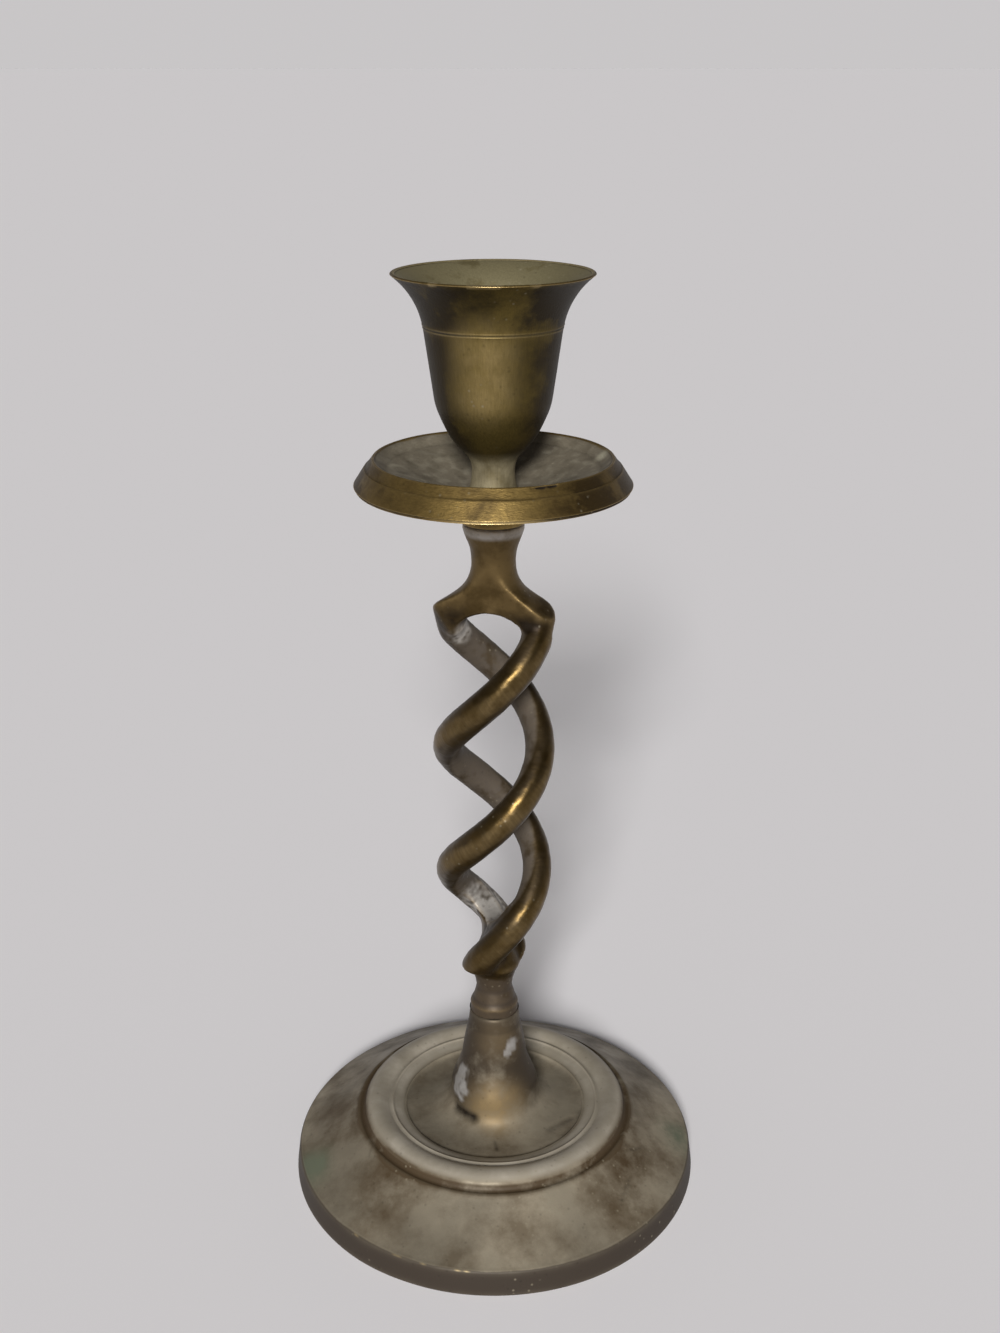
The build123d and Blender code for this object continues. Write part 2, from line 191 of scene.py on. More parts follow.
def turned_piece(node, name, step, turns, corner):
    """Turns a CAD node afresh from its outline, with eased corners and an even mesh."""
    outline, closed = cad_outline(node)
    points = eased_outline(outline, closed, step * MM, corner * MM)
    count = len(points)
    edges = [(index, (index + 1) % count) for index in range(count if closed else count - 1)]
    mesh = bpy.data.meshes.new(name)
    mesh.from_pydata([(r, 0.0, z) for r, z in points], edges, [])
    piece = new_piece(name, mesh)
    open_piece(piece)
    bpy.ops.mesh.spin(steps=turns, angle=2 * math.pi, center=(0, 0, 0), axis=(0, 0, 1))
    bpy.ops.mesh.select_all(action="SELECT")
    bpy.ops.mesh.remove_doubles(threshold=JOIN)
    bpy.ops.mesh.normals_make_consistent(inside=False)
    close_piece()
    bpy.ops.object.shade_smooth()
    return piece


# Measures of a surface

def radius_and_height(points):
    """How far each point is from the axis, and its height, in millimetres."""
    return np.hypot(points[:, 0], points[:, 1]) / MM, points[:, 2] / MM


def outwardness(piece, points):
    """How far the surface at each point faces away from the axis: 1 straight out, -1 straight in."""
    normals = read_points(piece, "normal")
    radius = np.hypot(points[:, 0], points[:, 1])
    return (points[:, :2] * normals[:, :2]).sum(1) / np.maximum(radius, JOIN)


def waves(points, size):
    """Smooth noise between -1 and 1 with swells of the given size."""
    return np.array([noise.noise(Vector(point) / (size * MM)) for point in points])


def bend(piece):
    """How sharply the surface bends at each point, in 1/m: ridges above zero, hollows below."""
    points = read_points(piece)
    normals = read_points(piece, "normal")
    pairs = np.zeros(len(piece.data.edges) * 2, dtype=int)
    piece.data.edges.foreach_get("vertices", pairs)
    first, second = pairs.reshape(-1, 2).T
    along = points[second] - points[first]
    square = np.maximum((along ** 2).sum(1), JOIN ** 2)
    total = np.zeros(len(points))
    share = np.zeros(len(points))
    np.add.at(total, first, -2 * (normals[first] * along).sum(1) / square)
    np.add.at(total, second, 2 * (normals[second] * along).sum(1) / square)
    np.add.at(share, first, 1)
    np.add.at(share, second, 1)
    value = total / share
    # Two rounds of averaging with the neighbours
    for _ in range(2):
        spread = np.zeros(len(points))
        np.add.at(spread, first, value[second])
        np.add.at(spread, second, value[first])
        value = (value + spread / share) / 2
    return value


# Wear: relief in the mesh, and layers of wear painted on its points

# A layer this strong covers the surface however the blotches thin it
FULL = 2.0


def paint(piece, layer, values):
    """Keeps a layer of wear on a piece's points, for its material to read."""
    made = piece.data.attributes.new(layer, "FLOAT", "POINT")
    made.data.foreach_set("value", np.clip(values, 0, FULL).astype(np.float32))


def soft_step(share):
    """A share between 0 and 1, eased at both ends."""
    held = np.clip(share, 0, 1)
    return held * held * (3 - 2 * held)


def spot(points, middle, reach):
    """A soft round spot: 1 in its middle and 0 beyond its reach."""
    away = np.linalg.norm(points - np.array(middle) * MM, axis=1)
    return soft_step(1 - away / (reach * MM))


def spots(points, places):
    """Several soft spots together, each a middle, a reach and a strength."""
    return sum(strength * spot(points, middle, reach) for middle, reach, strength in places)


def slot_mark(points, start, end, width):
    """A soft straight mark between two points, of a width on either side."""
    first = np.array(start) * MM
    run = np.array(end) * MM - first
    place = np.clip((points - first) @ run / (run @ run), 0, 1)
    away = np.linalg.norm(points - first - place[:, None] * run, axis=1)
    return soft_step(1 - away / (width * MM))


def between(values, low, high, fade):
    """1 where a value lies between two bounds, fading to 0 outside them."""
    return np.clip((values - low) / fade + 1, 0, 1) * np.clip((high - values) / fade + 1, 0, 1)


def belt(radius, height, radii, heights):
    """A belt round the axis: its bounds and fade in radius, and those in height."""
    return between(radius, *radii) * between(height, *heights)


def relief(piece, swell, size):
    """Lowers a surface unevenly, as a cast and handled one is: never outward."""
    points = read_points(piece)
    normals = read_points(piece, "normal")
    depth = (waves(points, size) - 1) / 2 * swell * MM
    write_points(piece, points + normals * depth[:, None])


def press(piece, mask, depth):
    """Presses a mark into a surface."""
    points = read_points(piece)
    normals = read_points(piece, "normal")
    write_points(piece, points - normals * (mask * depth * MM)[:, None])


def pull(piece, middle, reach, move):
    """Draws the surface about a point along a move, fading to the spot's edge."""
    points = read_points(piece)
    write_points(piece, points + spot(points, middle, reach)[:, None] * np.array(move) * MM)


# The base

# The longest step along the outline, the steps round the axis and the size of a rounded corner
BASE_MESH = {"step": 0.9, "turns": 300, "corner": 1.1}
# Bends, in 1/m, at which an edge is fully worn and a hollow fully dark
BASE_WORN_BEND = 5200
BASE_SUNK_BEND = 4500
# The depth and size of the swells in the uneven surface
BASE_SWELL = (0.16, 14.0)

# The ring round the floor is rounder than the solid's, and the foot of the trumpet wider.
# The ring drops with the square of the distance from its crest, in half widths up to its reach
RING_R = 29.4
RING_HALF = 3.4
RING_DROP = 0.9
RING_RADII = (26.2, 33.4, 0.6)
RING_HEIGHTS = (16.5, FAR, 1.0)
RING_REACH = 1.2
FLARE_Z = 24.0
FLARE_REACH = 8.0
FLARE_SPREAD = 1.5
FLARE_MAX_R = 20
# How far the upper side faces up
UPPER_FACING = (0.2, FAR, 0.5)

# Dents and scratches: ends, width, depth and darkness
BASE_MARKS = (
    ((-9.0, -6.0, 18.7), (-5.0, -10.0, 18.6), 2.1, 0.55, 0.9),
    ((13.5, -10.6, 15.6), (19.0, -6.5, 15.6), 1.6, 0.2, 0.35),
    ((0.2, -15.6, 15.8), (0.7, -18.2, 15.6), 0.8, 0.18, 0.4),
    ((32.4, -24.0, 11.3), (30.1, -29.6, 10.1), 0.7, 0.08, 0.5),
    ((-29.4, -17.0, 15.2), (-30.4, -19.4, 14.5), 0.7, 0.08, 0.5),
    ((33.5, -15.9, 13.4), (38.0, -12.0, 12.2), 0.7, 0.08, 0.5),
)
# A seam round the neck of the trumpet
SEAM_HEIGHTS = (40.4, 40.6, 0.5)
SEAM_MIN_R = 5
SEAM_DEPTH = 0.15
SEAM_DARK = 0.5

# Belts, as radii and heights, each as two bounds and a fade: painted shade on the ring's outer wall, a paler
# band on the ring, a darker trumpet and a darker side to the rim
SHADED_RING_WALL = ((32.4, 34.0, 1.0), (14.4, 17.2, 0.8))
RING_BAND = ((23.4, 31.2, 0.9), (16.4, 19.0, 0.4))
TRUMPET = ((0, 12, 2), (25, 60, 7))
RIM_SIDE = ((49.1, FAR, 0.5), (-FAR, 6.4, 0.6))
WALL_SHADE = 0.9
BAND_PALE = 0.7

# Spots, as middle, reach and strength: a painted golden highlight on the front of the trumpet, then greenish
# and brown stains
BASE_GOLD_HIGHLIGHT = (((0.5, -9.5, 22.0), 10.0, 1.0), ((1.5, -6.5, 38.0), 9.0, 0.25))
BASE_GREEN = (((46.5, -4.0, 7.5), 9.0, 1.0), ((-45.0, -15.5, 7.5), 10.0, 1.0))
BASE_STAINS = (
    ((-24.5, -27.5, 13.5), 17.0, 0.75),
    ((-38.0, -3.4, 12.5), 17.0, 0.75),
    ((30.0, -27.0, 11.0), 17.0, 0.75),
    ((34.0, -12.0, 13.5), 17.0, 0.75),
)
# Splashes of solder on the trumpet, with ragged edges
SOLDER = (
    ((-7.4, -4.6, 24.0), 5.0, 2.4),
    ((-6.4, -3.6, 28.0), 3.6, 2.4),
    ((4.6, -5.4, 36.6), 3.2, 2.4),
    ((3.2, -6.2, 34.6), 2.2, 2.4),
)
SOLDER_RAGGED = 1.7
SOLDER_FILL = 0.75
SOLDER_EDGE = 0.5
SOLDER_MOST = 0.75

# Bright chips along the rim's upper edge, by their bearing in degrees
RIM_CHIPS = (-131.0, -117.0, -109.0, -100.0, -97.6)
CHIP_R = 49.2
CHIP_Z = 6.6
CHIP_LENGTH = 0.7
CHIP_WIDTH = 0.5
CHIP_BRIGHT = 0.6


def chip_ends(bearing):
    """The ends of a chip on the rim's edge."""
    ends = []
    for side in (-0.5, 0.5):
        turn = math.radians(bearing) + side * CHIP_LENGTH / CHIP_R
        ends.append((CHIP_R * math.cos(turn), CHIP_R * math.sin(turn), CHIP_Z))
    return ends


def round_base(base):
    """Rounds the top of the ring and spreads the foot of the trumpet, on the upper side alone."""
    points = read_points(base)
    radius, height = radius_and_height(points)
    upper = between(read_points(base, "normal")[:, 2], *UPPER_FACING)
    ring = upper * belt(radius, height, RING_RADII, RING_HEIGHTS)
    away = np.clip(np.abs(radius - RING_R) / RING_HALF, 0, RING_REACH)
    points[:, 2] -= ring * away ** 2 * RING_DROP * MM
    near = soft_step(1 - np.abs(height - FLARE_Z) / FLARE_REACH)
    wider = upper * near * (radius < FLARE_MAX_R) * FLARE_SPREAD
    points[:, :2] *= (1 + wider / np.maximum(radius, 1))[:, None]
    write_points(base, points)


def make_base():
    base = turned_piece("base", "stepped_base", **BASE_MESH)
    points = read_points(base)
    radius, height = radius_and_height(points)
    round_base(base)
    bent = bend(base)
    dark = -bent / BASE_SUNK_BEND
    relief(base, *BASE_SWELL)
    for start, end, width, depth, darkness in BASE_MARKS:
        mark = slot_mark(points, start, end, width)
        press(base, mark, depth)
        dark += darkness * mark
    seam = between(height, *SEAM_HEIGHTS) * (radius > SEAM_MIN_R)
    press(base, seam, SEAM_DEPTH)
    chips = sum(slot_mark(points, *chip_ends(bearing), CHIP_WIDTH) for bearing in RIM_CHIPS)
    ragged = SOLDER_FILL + waves(points, SOLDER_RAGGED)
    solder = spots(points, SOLDER) * ragged - SOLDER_EDGE
    paint(base, "worn", bent / BASE_WORN_BEND)
    paint(base, "sunk", dark + SEAM_DARK * seam)
    paint(base, "rim", FULL * belt(radius, height, *RIM_SIDE))
    paint(base, "bright", CHIP_BRIGHT * chips)
    paint(base, "trumpet", belt(radius, height, *TRUMPET))
    paint(base, "band", BAND_PALE * belt(radius, height, *RING_BAND))
    # Painted highlight, golden, on the front of the trumpet
    paint(base, "gold_highlight", spots(points, BASE_GOLD_HIGHLIGHT))
    paint(base, "solder", np.clip(solder, 0, SOLDER_MOST))
    # Brown stains, and painted shade on the ring's outer wall
    paint(base, "brown", spots(points, BASE_STAINS) + WALL_SHADE * belt(radius, height, *SHADED_RING_WALL))
    paint(base, "green", spots(points, BASE_GREEN))
    return base


# The stem

# Voxel size of the cast stem, the radius of the fillets that its joins run out in, and its smoothing
CAST_VOXEL = 0.45
CAST_FILLET = 1.3
CAST_SMOOTHING = {"factor": 0.5, "iterations": 8}
STEM_WORN_BEND = 900
STEM_SUNK_BEND = 500
STEM_SWELLS = ((0.16, 3.2), (0.08, 1.3))
# Moves that draw the yoke's shoulders to their points: middle, reach and move, for the left one
SHOULDER_PULLS = (
    ((-13.0, -1.0, 147.0), 8.0, (0.0, 0.0, 1.2)),
    ((-13.5, 0.0, 142.0), 6.0, (1.4, 0.0, 0.5)),
)
# The collar above the trumpet: heights and radii, the fade at its ends, and the bore inside it
COLLAR_Z = (44.0, 46.2, 47.4, 50.0)
COLLAR_RADII = (5.9, 5.85, 5.2, 4.5)
COLLAR_FADE = 0.4
COLLAR_BORE_R = 3.2

# Heights where a layer lies, as two bounds and a fade
TWIST_HEIGHTS = (61, 148, 4)
FLANGE_HEIGHTS = (165.4, 168.0, 1.0)
YOKE_HEIGHTS = (150, 171, 4)
COLLAR_HEIGHTS = (40, 53, 3)
FLANGE_SILVER = 0.8
COLLAR_BROWN = 1.5
EDGE_WORN = 0.4
CREST_WORN = 0.2
# How far the strands face outward on their crests, on their flanks, where shade is painted, and on their
# inner sides
CREST_FACING = (1.0, FAR, 0.14)
SHADED_FLANK_FACING = (0.1, 0.5, 0.25)
INNER_FACING = (-FAR, -0.4, 0.5)
# Silvery patches, as middle, reach and strength: one under the left shoulder, and one in the crotch
# where the strands part, which leaves the surfaces that face outward
SHOULDER_SILVER = ((-6.9, 2.4, 141), 4.6, 2.2)
CROTCH_SILVER = ((-1.0, 2.0, 70), 10.0, 2.2)
CROTCH_FACING = 0.5
SILVER_GRAIN = 1.1
SILVER_FILL = 0.8
SILVER_MOST = 1.2
# Painted shade on slopes of the yoke, on the front right and the back left
SHADED_YOKE_SLOPES = (((9.0, -2.5, 151.5), 5.5, 0.7), ((-9.0, 2.5, 151.5), 5.5, 0.7))


def cast_stem():
    """The CAD twist with its sharp joins run into each other, its shoulders drawn and its collar eased."""
    stem = cad_copy("twist_stem", "cast_twist_stem")
    voxels = {"mode": "VOXEL", "voxel_size": CAST_VOXEL * MM, "use_smooth_shade": True}
    # Swelling the solid, joining what meets and shrinking it back leaves a fillet in every inner corner
    for swell in (CAST_FILLET, -CAST_FILLET):
        apply_modifier(stem, "REMESH", **voxels)
        apply_modifier(stem, "DISPLACE", strength=swell * MM, mid_level=0)
    apply_modifier(stem, "REMESH", **voxels)
    apply_modifier(stem, "SMOOTH", **CAST_SMOOTHING)
    for side in (1, -1):
        for (x, y, z), reach, (dx, dy, dz) in SHOULDER_PULLS:
            pull(stem, (side * x, side * y, z), reach, (side * dx, side * dy, dz))
    points = read_points(stem)
    radius, height = radius_and_height(points)
    collar = between(height, COLLAR_Z[0], COLLAR_Z[-1], COLLAR_FADE) * (radius > COLLAR_BORE_R)
    wanted = np.interp(height, COLLAR_Z, COLLAR_RADII)
    eased = collar * (1 - wanted / np.maximum(radius, 1))
    points[:, :2] *= (1 - eased)[:, None]
    write_points(stem, points)
    return stem


def along_strands(points):
    """How far along its strand each point lies, measured square to the strand."""
    radius, height = radius_and_height(points)
    turn = np.degrees(np.arctan2(points[:, 1], points[:, 0]))
    strand = SHOULDER_ANGLE + 360 / TWIST_PITCH * (height - SHOULDER_Z)
    aside = np.radians((turn - strand + 90) % 180 - 90)
    round_run = 2 * math.pi * TWIST_R
    pitch_run = math.hypot(round_run, TWIST_PITCH)
    return height * pitch_run / TWIST_PITCH + aside * radius * round_run / pitch_run


def make_stem():
    low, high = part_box("twist_stem")
    stem = cast_stem()
    bent = bend(stem)
    for swell, size in STEM_SWELLS:
        relief(stem, swell, size)
    points = read_points(stem)
    points[:, 2] = np.clip(points[:, 2], low.z, high.z)
    write_points(stem, points)
    _, height = radius_and_height(points)
    outward = outwardness(stem, points)
    twisted = between(height, *TWIST_HEIGHTS)
    crest = twisted * between(outward, *CREST_FACING)
    silver = spots(points, [SHOULDER_SILVER]) + spots(points, [CROTCH_SILVER]) * (outward < CROTCH_FACING)
    grainy = np.clip(silver * (SILVER_FILL + waves(points, SILVER_GRAIN)), 0, SILVER_MOST)
    paint(stem, "worn", EDGE_WORN * bent / STEM_WORN_BEND + CREST_WORN * crest)
    paint(stem, "sunk", -bent / STEM_SUNK_BEND)
    paint(stem, "rough_cast", twisted * between(outward, *INNER_FACING))
    paint(stem, "silver", grainy + FLANGE_SILVER * between(height, *FLANGE_HEIGHTS))
    paint(stem, "yoke", between(height, *YOKE_HEIGHTS))
    paint(stem, "collar", COLLAR_BROWN * between(height, *COLLAR_HEIGHTS))
    # Painted shade on the strands' flanks and on the yoke's slopes
    paint(stem, "flank_shade", twisted * between(outward, *SHADED_FLANK_FACING) + spots(points, SHADED_YOKE_SLOPES))
    length = stem.data.attributes.new("along", "FLOAT", "POINT")
    length.data.foreach_set("value", (along_strands(points) * MM).astype(np.float32))
    return stem


# The drip pan

PAN_MESH = {"step": 0.7, "turns": 240, "corner": 0.35}
PAN_WORN_BEND = 3600
PAN_SUNK_BEND = 2000
PAN_SWELL = (0.1, 12.0)
# Nicks in the upper edge: ends, and the width and depth of all
PAN_NICKS = (
    ((8.4, -24.6, 181.6), (10.2, -24.0, 181.6)),
    ((11.3, -23.5, 181.6), (12.3, -22.9, 181.6)),
)
NICK_WIDTH = 0.9
NICK_DEPTH = 0.45

# The dish within the edge, and its paler and darker mottling: size and strength
DISH_RADII = (0, 24.6, 0.6)
DISH_FACING = (0.35, 1, 0.2)
DISH_MOTTLE = (1.9, 0.5)
DISH_STAIN = (3.2, 0.4)
DISH_CONTRAST = 2
# A painted highlight on the lower edge, at the front
PAN_HIGHLIGHT_EDGE = ((29.6, 31, 0.4), (174.6, 175.6, 0.4))
PAN_HIGHLIGHT_FRONT = ((0, -30, 175), 14.0)
# Spots, as middle, reach and strength: painted shade in brown towards the left and right ends, and a pale
# patch
PAN_SHADED_ENDS = (
    ((-29.0, -3.0, 177.0), 15.0, 1.4),
    ((29.0, -3.0, 177.0), 15.0, 1.4),
    ((21.0, -20.0, 177.0), 15.0, 1.4),
)
PAN_PALE = ((23.4, 5.5, 180.5), 2.6)


def make_pan():
    pan = turned_piece("drip_pan", "turned_drip_pan", **PAN_MESH)
    bent = bend(pan)
    points = read_points(pan)
    radius, height = radius_and_height(points)
    nicks = sum(slot_mark(points, *ends, NICK_WIDTH) for ends in PAN_NICKS)
    relief(pan, *PAN_SWELL)
    press(pan, nicks, NICK_DEPTH)
    upward = read_points(pan, "normal")[:, 2]
    dish = between(radius, *DISH_RADII) * between(upward, *DISH_FACING)
    mottle_size, mottle = DISH_MOTTLE
    stain_size, stain = DISH_STAIN
    paint(pan, "worn", bent / PAN_WORN_BEND)
    paint(pan, "sunk", -bent / PAN_SUNK_BEND + FULL * nicks)
    paint(pan, "dish", FULL * dish)
    paint(pan, "mottle", mottle * dish * np.clip(DISH_CONTRAST * waves(points, mottle_size), 0, 1))
    paint(pan, "stain", stain * dish * np.clip(DISH_CONTRAST * waves(-points, stain_size), 0, 1))
    # Painted highlight on the front of the lower edge
    paint(pan, "bright", belt(radius, height, *PAN_HIGHLIGHT_EDGE) * spot(points, *PAN_HIGHLIGHT_FRONT))
    # Painted shade in brown towards the pan's ends
    paint(pan, "brown", spots(points, PAN_SHADED_ENDS))
    paint(pan, "pale", spot(points, *PAN_PALE))
    return pan


# The candle cup

CUP_MESH = {"step": 0.8, "turns": 200, "corner": 0.3}
CUP_WORN_BEND = 4000
CUP_SUNK_BEND = 3000
CUP_SWELL = (0.06, 9.0)
# The fine turned line round the cup is worn nearly away: its belt, and by what share of its radius it fills
CUP_LINE = ((14.2, 15.2, 0.1), (208.9, 209.5, 0.25))
LINE_FILL = 0.01
LINE_PALE = 0.15

# Painted highlight, as brass rubbed clean, in an upright stripe front and back
CUP_HIGHLIGHT_STRIPES = (
    ((-1.8, -12.6, 197.0), (-1.8, -13.8, 206.0)),
    ((1.8, 12.6, 197.0), (1.8, 13.8, 206.0)),
)
HIGHLIGHT_STRIPE_WIDTH = 10.0
RUBBED_HIGHLIGHT = 0.5
# Painted shade, in brown: spots on the cup's left and right sides, the sides that face away from front and
# back, and the flare below the lip, which faces down
SIDE_SHADE_REACH = 9.0
BROWN = 0.6
CUP_SIDE_SHADE_SPOTS = (
    (-12.5, -2.0, 191.0),
    (-11.0, -5.0, 186.5),
    (-13.5, -3.0, 203.0),
    (12.5, -3.0, 191.0),
    (13.5, -3.5, 205.0),
    (-18.0, -4.0, 216.0),
    (18.0, -4.0, 216.0),
    (12.0, 6.0, 198.0),
    (-12.0, 7.0, 197.0),
)
SHADED_SIDE_SHARE = (0.95, FAR, 0.75)
SHADED_SIDE_FACING = (0.1, 1, 0.2)
SHADED_FLARE_HEIGHTS = (210.5, 218.6, 1.5)
SHADED_FLARE_FACING = (-0.2, 1, 0.2)
FLARE_SHADE = 0.5
# Bright chips with a painted highlight on the front of the lip: ends, and the width of all
CUP_LIP_GLINTS = (
    ((-4.2, -20.2, 219.8), (-2.6, -20.5, 219.8)),
    ((-1.6, -20.6, 219.8), (1.2, -20.6, 219.8)),
    ((-12.0, -16.8, 219.8), (-11.4, -17.2, 219.8)),
    ((8.0, -19.0, 219.8), (8.6, -18.7, 219.8)),
)
GLINT_WIDTH = 0.9
LIP_HEIGHTS = (219.4, FAR, 0.4)
# The inside, down to its floor, and the pale foot
INSIDE_FACING = (-1, 0.0, 0.1)
INSIDE_HEIGHTS = (187.2, FAR, 0.2)
INSIDE = 1.3
FOOT_HEIGHTS = (174, 181, 3)
FOOT_FACING = (0.2, 1, 0.1)
FOOT_PALE = 0.8


def make_cup():
    cup = turned_piece("candle_cup", "tulip_cup", **CUP_MESH)
    bent = bend(cup)
    points = read_points(cup)
    line = belt(*radius_and_height(points), *CUP_LINE)
    points[:, :2] *= (1 + LINE_FILL * line)[:, None]
    write_points(cup, points)
    relief(cup, *CUP_SWELL)
    radius, height = radius_and_height(points)
    outward = outwardness(cup, points)
    aside = between(np.abs(points[:, 0]) / MM / np.maximum(radius, 1), *SHADED_SIDE_SHARE)
    side = aside * between(outward, *SHADED_SIDE_FACING)
    flare_shade = between(height, *SHADED_FLARE_HEIGHTS) * between(outward, *SHADED_FLARE_FACING)
    brown = BROWN * sum(spot(points, place, SIDE_SHADE_REACH) for place in CUP_SIDE_SHADE_SPOTS)
    flecks = sum(slot_mark(points, *ends, GLINT_WIDTH) for ends in CUP_LIP_GLINTS)
    rubbed = sum(slot_mark(points, *ends, HIGHLIGHT_STRIPE_WIDTH) for ends in CUP_HIGHLIGHT_STRIPES)
    foot = between(height, *FOOT_HEIGHTS) * between(outward, *FOOT_FACING)
    paint(cup, "worn", bent / CUP_WORN_BEND)
    paint(cup, "sunk", -bent / CUP_SUNK_BEND)
    # Painted highlight, as bright chips, on the front of the lip
    paint(cup, "bright", flecks * between(height, *LIP_HEIGHTS))
    # Painted highlight, as rubbed-clean brass, front and back
    paint(cup, "rubbed", RUBBED_HIGHLIGHT * rubbed)
    # Painted shade in brown on the cup's sides and on its downward flare
    paint(cup, "brown", brown + side + FLARE_SHADE * flare_shade)
    paint(cup, "inside", INSIDE * between(outward, *INSIDE_FACING) * between(height, *INSIDE_HEIGHTS))
    paint(cup, "pale", FOOT_PALE * foot + LINE_PALE * line)
    return cup


# Fixings

# Each stud's screw, its body and the pitch of its thread
STUDS = {"cup_stud": ("cup_screw", "cup", 1.0), "base_stud": ("base_screw", "stand", 0.8)}
THREAD_STEPS = 40
# Turns wound past the two ends, which are then cut off
SPARE_TURNS = 2
# The thread's depth, and where its crest starts and ends and its root starts, as shares of the pitch
THREAD_DEPTH = 0.6
CREST_START = 0.42
CREST_END = 0.56
ROOT_START = 0.98
# Edges of the thread that turn more than this, in degrees, stay sharp
THREAD_EDGE = 40


def make_screw(node, name, pitch):
    """A threaded stud: one turn of thread wound up the stud, then cut square at both ends."""
    low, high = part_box(node)
    radius = high.x
    rise = pitch * MM
    root = radius - THREAD_DEPTH * rise
    turns = math.ceil((high.z - low.z) / rise) + SPARE_TURNS
    start = low.z - rise
    wire = [
        (root, 0, start),
        (radius, 0, start + CREST_START * rise),
        (radius, 0, start + CREST_END * rise),
        (root, 0, start + ROOT_START * rise),
        (root, 0, start + rise),
    ]
    mesh = bpy.data.meshes.new(name)
    mesh.from_pydata(wire, [(index, index + 1) for index in range(len(wire) - 1)], [])
    screw = new_piece(name, mesh)
    apply_modifier(
        screw,
        "SCREW",
        axis="Z",
        angle=2 * math.pi,
        screw_offset=rise,
        iterations=turns,
        steps=THREAD_STEPS,
        render_steps=THREAD_STEPS,
        use_merge_vertices=True,
        merge_threshold=JOIN,
    )
    open_piece(screw)
    bpy.ops.mesh.remove_doubles(threshold=JOIN)
    for level, side in ((low.z, -1), (high.z, 1)):
        bpy.ops.mesh.select_all(action="SELECT")
        bpy.ops.mesh.bisect(
            plane_co=(0, 0, level), plane_no=(0, 0, side), clear_outer=True, use_fill=True, threshold=JOIN
        )
    bpy.ops.mesh.select_all(action="SELECT")
    bpy.ops.mesh.dissolve_degenerate(threshold=JOIN)
    bpy.ops.mesh.select_all(action="SELECT")
    bpy.ops.mesh.normals_make_consistent(inside=False)
    close_piece()
    bpy.ops.object.shade_smooth_by_angle(angle=math.radians(THREAD_EDGE))
    return screw


# Tools for materials

def colour(code):
    """An sRGB hex colour as linear RGBA."""
    parts = [int(code[index:index + 2], 16) / 255 for index in (1, 3, 5)]
    return [part / 12.92 if part <= 0.04045 else ((part + 0.055) / 1.055) ** 2.4 for part in parts] + [1.0]


def per(size):
    """The scale of a pattern whose features are this many millimetres apart."""
    return 1 / (size * MM)


def add(tree, kind, inputs, **settings):
    """Adds a shader node with its settings, its values and its links."""
    made = tree.nodes.new("ShaderNode" + kind)
    for key, value in settings.items():
        setattr(made, key, value)
    for key, value in inputs.items():
        if isinstance(value, bpy.types.NodeSocket):
            tree.links.new(value, made.inputs[key])
        else:
            made.inputs[key].default_value = value
    return made.outputs


# Places of a mixing node's sockets, because several of them share a name
SHARE, VALUE_A, VALUE_B, VALUE_OUT = 0, 2, 3, 0
COLOUR_A, COLOUR_B, COLOUR_OUT = 6, 7, 2


def mix_colours(tree, share, first, second, how="MIX"):
    inputs = {SHARE: share, COLOUR_A: first, COLOUR_B: second}
    return add(tree, "Mix", inputs, data_type="RGBA", blend_type=how)[COLOUR_OUT]


def mix_values(tree, share, first, second):
    return add(tree, "Mix", {SHARE: share, VALUE_A: first, VALUE_B: second}, data_type="FLOAT")[VALUE_OUT]


def work_out(tree, operation, *values, hold=False):
    """Works out a value from others, held between 0 and 1 if asked."""
    return add(tree, "Math", dict(enumerate(values)), operation=operation, use_clamp=hold)["Value"]


def fit(tree, value, bounds, results=(0.0, 1.0)):
    """Maps a value from its bounds to two results, and holds it there beyond them."""
    inputs = {"Value": value, "From Min": bounds[0], "From Max": bounds[1]}
    inputs.update({"To Min": results[0], "To Max": results[1]})
    return add(tree, "MapRange", inputs)["Result"]


def patches(tree, place, size, detail, roughness):
    """Soft random patches of a size."""
    inputs = {"Vector": place, "Scale": per(size), "Detail": detail, "Roughness": roughness}
    return add(tree, "TexNoise", inputs)["Fac"]


def cells(tree, place, size):
    """How far each place is from the nearest of many scattered points, as a share of the size."""
    return add(tree, "TexVoronoi", {"Vector": place, "Scale": per(size), "Randomness": 1.0})["Distance"]


def blank_material(name):
    material = bpy.data.materials.new(name)
    material.use_nodes = True
    material.node_tree.nodes.clear()
    return material, material.node_tree


# Aged brass

# Where blotches turn to tarnish, how clouds shade it, and how ragged blotches make each layer
TARNISH_BOUNDS = (0.4, 0.66)
CLOUD_BOUNDS = (0.35, 0.7)
CLOUD_SHADES = (0.72, 1.25)
GLOSS_BOUNDS = (0.3, 0.7)
RAGGED_BOUNDS = (0.35, 0.65)
RAGGED_SHARES = (0.5, 1.5)
GRAIN_SIZE = 0.7
# Casting pits, darker than the brass round them
PIT_SIZE = 2.6
PIT_BOUNDS = (0.05, 0.16)
PIT_SHADES = (0.8, 1.0)
# Flecks of dried polish, where the clouds are thick
FLECK = "#948b76"
FLECK_SIZE = 1.9
FLECK_BOUNDS = (0.05, 0.2)
FLECK_SHARES = (0.5, 0.0)
FLECK_CLOUDS = (0.5, 0.6)
# Brush strokes, and striations across the strands: bounds, shades and shares of the bump
STROKE_BOUNDS = (0.3, 0.7)
STROKE_SHADES = (0.9, 1.1)
STROKE_BUMP = 0.9
STROKE_ROUGH = 0.16
STRIATION_SIZE = 0.8
STRIATION_BOUNDS = (0.4, 0.6)
STRIATION_SHADES = (0.9, 1.1)
STRIATION_BUMP = 0.35
GRAIN_BUMP = 0.5
BUMP_STRENGTH = 0.35
BUMP_DEPTH = 0.12
# Tarnish is duller than clear lacquer, so it shines less than a plain plastic would
SKIN_SHINE = 0.2


